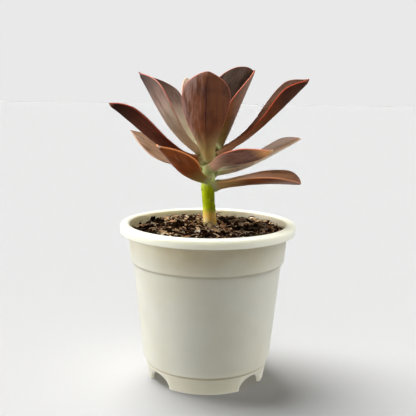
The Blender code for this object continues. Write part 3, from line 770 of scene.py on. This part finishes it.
def leafLook(name, own):
    look = tinted({**plainLook, **own})
    skin = Skin(name, Subsurface_Weight=0.05, Subsurface_Scale=0.0012, Subsurface_Radius=(1, 0.35, 0.2),
                Specular_IOR_Level=look["gloss"], Sheen_Weight=0.02, Sheen_Roughness=0.4)
    place = skin.attribute("bladePlace")
    travelled, under = skin.split(place)[1:]
    across, along, rim = skin.parts("bladeShare")
    fibres = skin.grain(place, 1, 4, 0.6, (1.1, 0.07, 3))
    wisps = skin.grain(place, 1, 4, 0.65, (0.42, 0.06, 2))
    lines = skin.grain(place, 1, 1, stretch=(3.4, 0.05, 5))
    broad = skin.grain(place, 1, 3, 0.55, (0.12, 0.06, 2))
    speckle = skin.grain(place, 1, 3, stretch=(2.4, 2.1, 1))
    skin.colour = skin.mix(under, look["inner"], look["outer"])
    deep = skin.mix(0.62, skin.colour, (0.022, 0.006, 0.004, 1))
    skin.coat(skin.ramp(broad, 0.46, 0.66, 0, 0.75), deep)
    skin.coat(skin.ramp(wisps, 0.5, 0.36, 0, 0.4), deep)
    cover = skin.times(under, look["bloomOuter"] - look["bloomInner"], look["bloomInner"])
    # painted sheen: more bloom on one half of the leaf, the half the light falls on
    cover = skin.times(across, -look["paintedSheenSide"], cover)
    cover = skin.times(fibres, 0.8, skin.times(wisps, 1.5, cover))
    tip = skin.ramp(along, look["tipFrom"], 1, 0, look["tipShare"])
    bloom = skin.times(skin.ramp(cover, 1.1, 1.75, 0, 0.9), skin.math("SUBTRACT", 1, tip))
    skin.coat(bloom, look["bloom"])
    skin.coat(tip, look["tip"])
    base = skin.ramp(skin.times(broad, 9, travelled), look["baseReach"] + 4, 7)
    skin.coat(base, look["base"])
    skin.coat(skin.times(skin.ramp(skin.times(speckle, 2, travelled), 6.5, 2.5), 0.85), look["foot"])
    skin.coat(skin.times(skin.ramp(lines, 0.48, 0.66), 0.3 * look["lines"]), look["lineColour"])
    skin.coat(skin.ramp(speckle, 0.58, 0.74, 0, look["dust"]), look["dustColour"])
    middle = skin.math("ABSOLUTE", skin.times(wisps, 0.05, skin.math("SUBTRACT", across, 0.025)))
    onBack = skin.times(under, skin.ramp(along, 0.25, 0.6))
    shade = skin.times(skin.ramp(middle, 0.2, 0.02), skin.ramp(across, 0.02, -0.03))  # a dark patch beside the keel
    shade = skin.times(skin.times(shade, skin.ramp(wisps, 0.36, 0.56)), onBack)
    shade = skin.times(shade, skin.ramp(along, 0.55, 0.9))
    skin.coat(skin.times(shade, look["keelShade"]), look["keelColour"])
    ridge = skin.times(skin.ramp(middle, 0.026, 0.006), onBack)
    skin.coat(skin.times(ridge, look["keel"]), look["keelColour"])
    # the margin: the leaf's own red pigment, with a painted glow of light passing through the thin edge
    rimShare = skin.ramp(skin.times(fibres, 0.3, rim), look["rimWidth"] + 0.2, 0.5 * look["rimWidth"])
    rimShare = skin.times(rimShare, skin.ramp(along, 0.1, 0.6, 0.35, 1))
    rimShare = skin.times(rimShare, skin.times(base, -0.7, 1))
    skin.coat(skin.times(rimShare, 0.9), look["margin"])
    skin.coat(skin.ramp(along, 0.945, 0.985, 0, look["pointShare"]), look["point"])
    skin.bump(skin.times(speckle, 0.2, fibres), 0.2, 0.00018)
    return skin.finish(skin.times(bloom, 0.16, 0.44))


for number, (node, row) in enumerate(leaves.items()):
    pieceName = "blade" + "".join(word.capitalize() for word in node.split("_")[1:])
    leaf = {**plainLeaf, **dict(zip(leafValues, row))}
    blade = linked(pieceName, leafMesh(pieceName, leaf, leafShape["rings"], number + 1))
    look = leafLook(pieceName + "Skin", leafLooks.get(node, {}))
    finished(blade, look, [node], 80)
print("leaves are laid out:", len(leaves))


# ---- Heart: young leaves round the tip of the stem

heart = {
    "count": 7, "start": 257, "turn": 137.5, "lengths": (28, 13), "pitches": (62, 82), "halfWidths": (6.5, 3.5),
    "roots": (2, 4.5), "fold": 40, "pitchAtRoot": -12, "pitchAtTip": 10, "inward": 1, "rings": 48,
    "budCount": 3, "budLengths": (9, 6), "budRoot": 3, "budOut": 0.6, "budPitch": (80, 96), "budHalfWidth": 2.4,
    "budFold": 45, "budInward": 1.4, "coreRadius": 2.6, "coreHeight": 5, "coreSides": 48, "coreRings": 14,
}


def addYoung(work, number, rings, seed, inward, reach, **shape):  # one leaf of the spiral, reach is (out, up)
    azimuth = heart["start"] - heart["turn"] * number
    tip = (leafShape["rootOut"] + reach[0], shape["root"] + reach[1])
    mesh = leafMesh("young", {**plainLeaf, "azimuth": azimuth, "tip": tip, **shape}, rings, seed, False,
                    polar(-inward, azimuth))
    work.from_mesh(mesh)
    bpy.data.meshes.remove(mesh)


def makeHeart():
    work = bmesh.new()
    for number in range(heart["count"]):
        share = number / (heart["count"] - 1)
        length, pitch, width, rise = (
            between(heart[name], share) for name in ("lengths", "pitches", "halfWidths", "roots"))
        addYoung(work, number, heart["rings"], number + 30, heart["inward"], polar(length, pitch),
                 root=stem["top"] + rise, fold=heart["fold"], halfWidth=width,
                 pitch=(pitch + heart["pitchAtRoot"], pitch + heart["pitchAtTip"]))
    for number in range(heart["budCount"]):
        length = between(heart["budLengths"], number / (heart["budCount"] - 1))
        addYoung(work, heart["count"] + number, heart["rings"] // 2, number + 50, heart["budInward"],
                 (heart["budOut"], length), root=stem["top"] + heart["budRoot"], fold=heart["budFold"],
                 halfWidth=heart["budHalfWidth"], pitch=heart["budPitch"])
    return linked("youngLeaves", meshOf(work, "youngLeaves"))


def makeCrown():  # the stem's blunt tip that carries the young leaves
    points = []
    sides, rings = heart["coreSides"], heart["coreRings"]
    for ring in range(rings + 1):
        share = ring / rings
        radius = heart["coreRadius"] * math.sqrt(max(1 - share ** 2, 0.0004)) + 0.5 * (1 - share)
        for side in range(sides):
            place = polar(radius, 360 * side / sides, stem["top"] - 0.5 + heart["coreHeight"] * share)
            points.append((place + Vector((stem["axis"], 0, 0))) * mm)
    mesh = meshFrom("crown", points, tube(rings + 1, sides))
    storeVectors(mesh, "stemMarks", [(0, 0, point[2] / mm) for point in points])
    return linked("crown", mesh)


youngLook = dict(inner=(170, 146, 120), outer=(150, 108, 86), bloomInner=0.5, bloomOuter=0.5, baseReach=8,
                 base=(176, 190, 150), rimWidth=0.6)
finished(makeHeart(), leafLook("youngSkin", youngLook), ["heart"], 80)
finished(makeCrown(), bareStem.data.materials[0], (), 70)
print("heart is filled")


# ---- Soil: a clodded bed with chips, crumbs, fibres and flecks scattered by Geometry Nodes

soil = {
    "edgeHeight": 94.4, "mound": 4, "clodHeight": 1.5, "clodSize": 8, "rings": 84, "columns": 240,
    "fineHeight": 1.2, "fineSize": 3.2, "grainHeight": 0.5, "grainSize": 1.1, "gap": 0.3, "wallClear": 0.35,
    "settled": 0.8, "leftDrop": 1.4, "wetness": 0.33, "patchSize": 7, "wetStep": 0.55, "dryStep": -0.35,
    "wetPatches": (  # across, back and radius in mm, here and below
        (18, 20, 17), (24, -8, 10), (34, 0, 9), (31, -28, 10), (-33, 20, 11), (-41, 2, 9), (-34, -16, 9)),
    "dryPatches": ((-16, 16, 20), (-4, -20, 16), (43, -14, 12), (14, -24, 10)),
}
soilColours = tinted({
    "black": (5, 3, 2), "dark": (64, 40, 27), "brown": (166, 124, 90), "tan": (250, 208, 158),
    "pale": (255, 238, 208), "fleck": (250, 236, 210), "chip": (134, 100, 68), "bark": (48, 28, 20),
    "wood": (252, 228, 176),
})


def soilHeight(x, y):  # millimetres, the packed soil's own surface
    share = min(math.hypot(x, y) / innerRadius(soil["edgeHeight"]), 1)
    mound = soil["edgeHeight"] + soil["mound"] * (1 - share * share)
    place = Vector((x / soil["clodSize"], y / soil["clodSize"], 0.3))
    return mound + soil["clodHeight"] * (noise.noise(place) + 0.5 * noise.noise(place * 2.3))


def soilGround(x, y):  # a little lower, since crumbs and chips lie on it
    return soilHeight(x, y) - soil["settled"] - soil["leftDrop"] * ease(shareBetween(-x, 26, 44))


def soilSurface(x, y):  # the same surface with lumps and grains on it
    fine = noise.noise(Vector((x / soil["fineSize"], y / soil["fineSize"], 7)))
    grain = noise.noise(Vector((x / soil["grainSize"], y / soil["grainSize"], 12)))
    return soilGround(x, y) + soil["fineHeight"] * fine + soil["grainHeight"] * grain


def soilWetness(x, y):  # from 0, dry and tan, to 1, wet and black
    wet = soil["wetness"] + 0.6 * noise.noise(Vector((x / soil["patchSize"], y / soil["patchSize"], 4)))
    for kind in ("wet", "dry"):
        for across, back, radius in soil[kind + "Patches"]:
            far = shareBetween(math.hypot(x - across, y - back), 0.4 * radius, radius)
            wet += soil[kind + "Step"] * (1 - ease(far))
    return min(max(wet, 0), 1)


def storeWetness(mesh):
    storeVectors(mesh, "wetness", [(soilWetness(spot.co.x / mm, spot.co.y / mm), 0, 0) for spot in mesh.vertices])


def makeSoil():  # the bed, and its open top for things to be scattered on
    columns, rings, gap = soil["columns"], soil["rings"], soil["gap"]
    edge = innerRadius(soil["edgeHeight"]) - gap
    spots = [(0, 0)] + [polar(edge * ring / rings, 360 * column / columns)[:2]
                        for ring in range(1, rings + 1) for column in range(columns)]
    points = [Vector((x, y, soilSurface(x, y))) * mm for x, y in spots]
    top = len(points)
    bottom, lowEdge = pot["floorTop"] + gap, pot["wallFoot"] - 2 * pot["wall"]
    heights = (88, 82, pot["bandHeight"] + gap, pot["bandHeight"] - pot["stepDrop"] - 0.01, 60, 45, 30,
               pot["wallFootHeight"])
    sides = [(innerRadius(height) - gap, height) for height in heights]
    sides += [(lowEdge - gap, bottom + pot["wall"]), (lowEdge - pot["wall"] - gap, bottom)]
    for radius, height in sides:
        points += [polar(radius * mm, 360 * column / columns, height * mm) for column in range(columns)]
    points.append(Vector((0, 0, bottom * mm)))
    faces = []
    last = len(points) - 1
    for column in range(columns):
        after = (column + 1) % columns
        faces.append((0, 1 + column, 1 + after))
        faces.append((last, last - columns + after, last - columns + column))
    faces += [(here, below, belowNext, there)
              for here, there, belowNext, below in bands(rings + len(sides), columns, 1)]
    mesh = meshFrom("soilBed", points, faces)
    storeWetness(mesh)
    ground = bpy.data.meshes.new("ground")
    ground.from_pydata(points[:top], [], [face for face in faces if max(face) < top])
    ground.update()
    return linked("soilBed", mesh), ground


def soilLook():
    tints = soilColours
    skin = Skin("soilEarth", Specular_IOR_Level=0)
    place = skin.objectPlace()
    lumps = skin.grain(place, 420, 4, 0.7)
    skin.colour = skin.mix(skin.ramp(lumps, 0.42, 0.68), tints["black"], tints["dark"])
    skin.coat(skin.ramp(skin.grain(place, 90, 3), 0.54, 0.72, 0, 0.3), tints["brown"])
    threads = skin.grain(place, 1, 3, stretch=(900, 340, 600))
    skin.coat(skin.ramp(threads, 0.62, 0.72, 0, 0.7), tints["tan"])
    skin.coat(skin.ramp(skin.parts("wetness")[0], 0.3, 0.6, 0, 0.9), tints["black"])
    skin.bump(lumps, 0.8, 0.0008)
    return skin.finish(skin.ramp(lumps, 0.3, 0.7, 0.8, 1))


def bitLook(name, first, second, flecks, roughness):  # a scattered bit takes its tone from its own number
    tints = soilColours
    skin = Skin(name, Specular_IOR_Level=0)
    tone = skin.parts("bitTone")[0]
    fibre = skin.grain(skin.objectPlace(), 1, 3, stretch=(700, 1600, 900))
    skin.colour = skin.mix(skin.ramp(tone, 0.15, 0.85), tints[first], tints[second])
    skin.coat(skin.ramp(fibre, 0.5, 0.7, 0, 0.55), tints[flecks])
    wet = skin.times(tone, 0.3, skin.parts("wetness")[0])
    skin.coat(skin.ramp(wet, 0.5, 0.85, 0, 0.9), tints["black"])
    skin.bump(fibre, 0.5, 0.0002)
    return skin.finish(skin.ramp(fibre, 0.3, 0.7, roughness - 0.1, roughness + 0.1))


soilBed, groundMesh = makeSoil()
finished(soilBed, soilLook(), ["soil"], 180)
print("soil is filled in:", len(soilBed.data.polygons), "faces")


def roughBlock(name, size, seed, cuts=1, taper=0.5):  # one splintered chip
    work = bmesh.new()
    bmesh.ops.create_cube(work, size=1)
    bmesh.ops.subdivide_edges(work, edges=work.edges, cuts=cuts, use_grid_fill=True)
    for corner in work.verts:
        along = corner.co.x + 0.5
        narrow = 1 - taper * along * along
        corner.co.y *= narrow
        corner.co.z *= narrow
        corner.co += 0.22 * noise.noise_vector(corner.co * 2.3 + Vector((seed, 0, 0)))
    bmesh.ops.scale(work, verts=work.verts, vec=Vector(size) * mm)
    return meshOf(work, name)


def lump(name, radius, seed):  # one crumb
    work = bmesh.new()
    bmesh.ops.create_icosphere(work, subdivisions=1, radius=1)
    for corner in work.verts:
        corner.co *= 1 + 0.6 * noise.noise(corner.co * 1.7 + Vector((seed, 0, 0)))
        corner.co *= radius * mm
    return meshOf(work, name)


def strand(name, length, radius, bend, seed, steps=7, sides=4):  # one curled fibre
    points = []
    chance = random.Random(seed)
    phase, lift = chance.uniform(0, 6), chance.uniform(0.2, 0.9)
    for step in range(steps + 1):
        share = step / steps
        bow = math.sin(math.pi * share)
        centre = Vector(((share - 0.5) * length, bend * bow + 0.3 * bend * math.sin(5 * share + phase), lift * bow))
        thick = radius * (1 - 0.6 * abs(2 * share - 1) ** 3)
        for side in range(sides):
            angle = 2 * math.pi * side / sides
            points.append((centre + Vector((0, math.cos(angle), 0.6 * math.sin(angle))) * thick) * mm)
    return meshFrom(name, points, tube(steps + 1, sides))


def scatterTree(name):
    tree = bpy.data.node_groups.new(name, "GeometryNodeTree")
    for label, kind in (("Ground", "Geometry"), ("Shapes", "Collection"), ("Density", "Float"), ("Seed", "Int"),
                        ("Smallest", "Float"), ("Largest", "Float"), ("Tilt", "Float"), ("Sink", "Float"),
                        ("Finish", "Material")):
        tree.interface.new_socket(label, in_out="INPUT", socket_type="NodeSocket" + kind)
    tree.interface.new_socket("Bits", in_out="OUTPUT", socket_type="NodeSocketGeometry")
    bench = Bench(tree)
    given = bench.add("NodeGroupInput").outputs

    def randomNumber(low, high):
        return bench.add("FunctionNodeRandomValue", {2: low, 3: high, "Seed": given["Seed"]},
                         data_type="FLOAT").outputs[1]

    def randomVector(ends=()):  # without ends each of its numbers lies from 0 to 1
        return bench.add("FunctionNodeRandomValue", {**dict(enumerate(ends)), "Seed": given["Seed"]},
                         data_type="FLOAT_VECTOR").outputs[0]

    spread = bench.add("GeometryNodeDistributePointsOnFaces", {
        "Mesh": given["Ground"], "Density": given["Density"], "Seed": given["Seed"]}, distribute_method="RANDOM")
    depth = bench.add("ShaderNodeCombineXYZ", {2: randomNumber(given["Sink"], 0.0004)}).outputs[0]
    sunk = bench.add("GeometryNodeSetPosition", {"Geometry": spread.outputs["Points"], "Offset": depth})
    shapes = bench.add("GeometryNodeCollectionInfo", {
        "Collection": given["Shapes"], "Separate Children": True, "Reset Children": True})
    back = bench.math("MULTIPLY", given["Tilt"], -1)
    turns = [bench.add("ShaderNodeCombineXYZ", {0: tilt, 1: tilt, 2: spin}).outputs[0]
             for tilt, spin in ((back, -math.pi), (given["Tilt"], math.pi))]
    placed = bench.add("GeometryNodeInstanceOnPoints", {
        "Points": sunk.outputs[0], "Instance": shapes.outputs[0], "Pick Instance": True,
        "Rotation": randomVector(turns), "Scale": randomNumber(given["Smallest"], given["Largest"])})
    kept = bench.add("GeometryNodeStoreNamedAttribute", {
        "Geometry": placed.outputs[0], "Name": "bitTone", "Value": randomVector()},
        data_type="FLOAT_VECTOR", domain="INSTANCE")
    real = bench.add("GeometryNodeRealizeInstances", {0: kept.outputs[0]})
    dressed = bench.add("GeometryNodeSetMaterial", {"Geometry": real.outputs[0], "Material": given["Finish"]})
    bench.add("NodeGroupOutput", {0: dressed.outputs[0]})
    return tree


def keepInPot(mesh):  # nothing scattered reaches into the wall
    for corner in mesh.vertices:
        limit = (innerRadius(corner.co.z / mm) - soil["wallClear"]) * mm
        radius = math.hypot(corner.co.x, corner.co.y)
        if radius > limit:
            corner.co.x *= limit / radius
            corner.co.y *= limit / radius


def scattered(name, meshes, values, finish):
    source = bpy.data.collections.new(name + "Shapes")
    for number, mesh in enumerate(meshes):
        source.objects.link(bpy.data.objects.new("%s%02d" % (name, number), mesh))
    ground = linked(name + "Ground", groundMesh.copy())
    modifier = ground.modifiers.new("scatter", "NODES")
    modifier.node_group = scatterTree(name + "Tree")
    given = {"Shapes": source, "Finish": finish, **values}
    for socket in modifier.node_group.interface.items_tree:
        if socket.name in given:
            modifier[socket.identifier] = given[socket.name]
    graph = bpy.context.evaluated_depsgraph_get()
    mesh = bpy.data.meshes.new_from_object(ground.evaluated_get(graph))
    bpy.data.objects.remove(ground)
    for thing in list(source.objects):
        bpy.data.objects.remove(thing)
    bpy.data.collections.remove(source)
    keepInPot(mesh)
    storeWetness(mesh)
    finished(linked(name, mesh), finish, (), 40)
    print(name, "is scattered:", len(mesh.polygons), "faces")


scattered("barkChips", [roughBlock("chip", (5.6, 1.8, 1.1), seed) for seed in range(6)], {
    "Density": 16000.0, "Seed": 3, "Smallest": 0.3, "Largest": 1.1, "Tilt": 0.8, "Sink": -0.0006,
}, bitLook("barkSkin", "dark", "brown", "tan", 0.75))
scattered("soilCrumbs", [lump("crumb", 1.0, seed) for seed in range(5)], {
    "Density": 120000.0, "Seed": 8, "Smallest": 0.35, "Largest": 1.3, "Tilt": 3.0, "Sink": -0.0012,
}, bitLook("crumbSkin", "black", "dark", "dark", 0.9))
bends = (0.8, -1.8, 2.6, -3.2, 1.4, 2.2)
scattered("coirFibres", [strand("strand", 9, 0.46, bend, seed) for seed, bend in enumerate(bends)], {
    "Density": 46000.0, "Seed": 21, "Smallest": 0.35, "Largest": 1.2, "Tilt": 0.45, "Sink": -0.0002,
}, bitLook("coirSkin", "dark", "tan", "pale", 0.7))
scattered("paleFlecks", [roughBlock("fleck", (1.8, 1.2, 0.7), seed + 20) for seed in range(4)], {
    "Density": 22000.0, "Seed": 33, "Smallest": 0.5, "Largest": 1.4, "Tilt": 0.8, "Sink": 0.0004,
}, bitLook("fleckSkin", "tan", "pale", "fleck", 0.6))


# ---- The soil's own large pieces: a sliver, a round chip, an upright point of peat with clods, and two cut twigs

largePieces = {  # tone, wetness and the blocks: size, across, back, rise, turn, tilt and seed
    "largeChips": (0.7, 0, (
        ((27, 3, 2), 10.25, -6, 0.8, -78, 0, 3), ((4.5, 3.2, 1.8), 38.9, 1.9, 0.8, 70, 12, 7))),
    "blackClods": (0.2, 1, (
        ((6.5, 3.4, 3.2), -36.5, 22, 2, 20, -72, 5), ((5, 3, 2.2), -33.5, 21, 0.8, 5, 4, 11),
        ((3.2, 2.6, 1.8), -44, 19, 1.2, -30, 25, 9))),
}
twigs = {
    "places": (((0.4, -6.8, 97.9), 1.9, 7.4, 74, 8), ((5.6, -8.4, 97.2), 1.4, 5, 66, -14)),  # radius, length, turns
    "sides": 32, "ragged": 0.07,
}


def makeLargePieces(name):
    tone, wet, blocks = largePieces[name]
    work = bmesh.new()
    for size, across, back, rise, turn, tilt, seed in blocks:
        mesh = roughBlock("piece", size, seed, 3, 0.35)
        place = Vector((across, back, soilGround(across, back) + rise)) * mm
        mesh.transform(Matrix.Translation(place) @ turned(turn, "Z") @ turned(tilt, "Y"))
        work.from_mesh(mesh)
        bpy.data.meshes.remove(mesh)
    mesh = meshOf(work, name)
    for layer, value in (("bitTone", (tone, 0.5, 0.5)), ("wetness", (wet, 0, 0))):
        storeVectors(mesh, layer, [value] * len(mesh.vertices))
    return linked(name, mesh)


def makeTwigs():
    points, faces, tones = [], [], []
    sides = twigs["sides"]
    for centre, radius, length, lift, turn in twigs["places"]:
        end = length / 2
        rings = ((1, -end, 0), (1, end - 0.3, 0), (0.94, end, 0.2), (0.8, end + 0.05, 0.4), (0.72, end - 0.18, 1),
                 (0.1, end - 0.1, 1))  # share of the radius, place along the twig and tone
        place = turned(turn, "Z") @ turned(lift, "X")
        faces += [tuple(index + len(points) for index in face) for face in tube(len(rings), sides)]
        for share, height, tone in rings:
            for side in range(sides):
                around = Vector((3 * math.cos(side / 5), 3 * math.sin(side / 5), height))
                ragged = 1 + twigs["ragged"] * noise.noise(around)
                spot = polar(radius * share * ragged, 360 * side / sides, height)
                points.append((Vector(centre) + place @ spot) * mm)
                tones.append((tone, tone, 0))
    mesh = meshFrom("twigEnds", points, faces)
    storeVectors(mesh, "bitTone", tones)
    return linked("twigEnds", mesh)


finished(makeLargePieces("largeChips"), bitLook("largeChipSkin", "dark", "chip", "tan", 0.7), (), 35)
finished(makeLargePieces("blackClods"), bitLook("clodSkin", "black", "dark", "dark", 0.9), (), 35)
finished(makeTwigs(), bitLook("twigSkin", "bark", "wood", "tan", 0.7), (), 40)
print("large chips and twigs are placed")
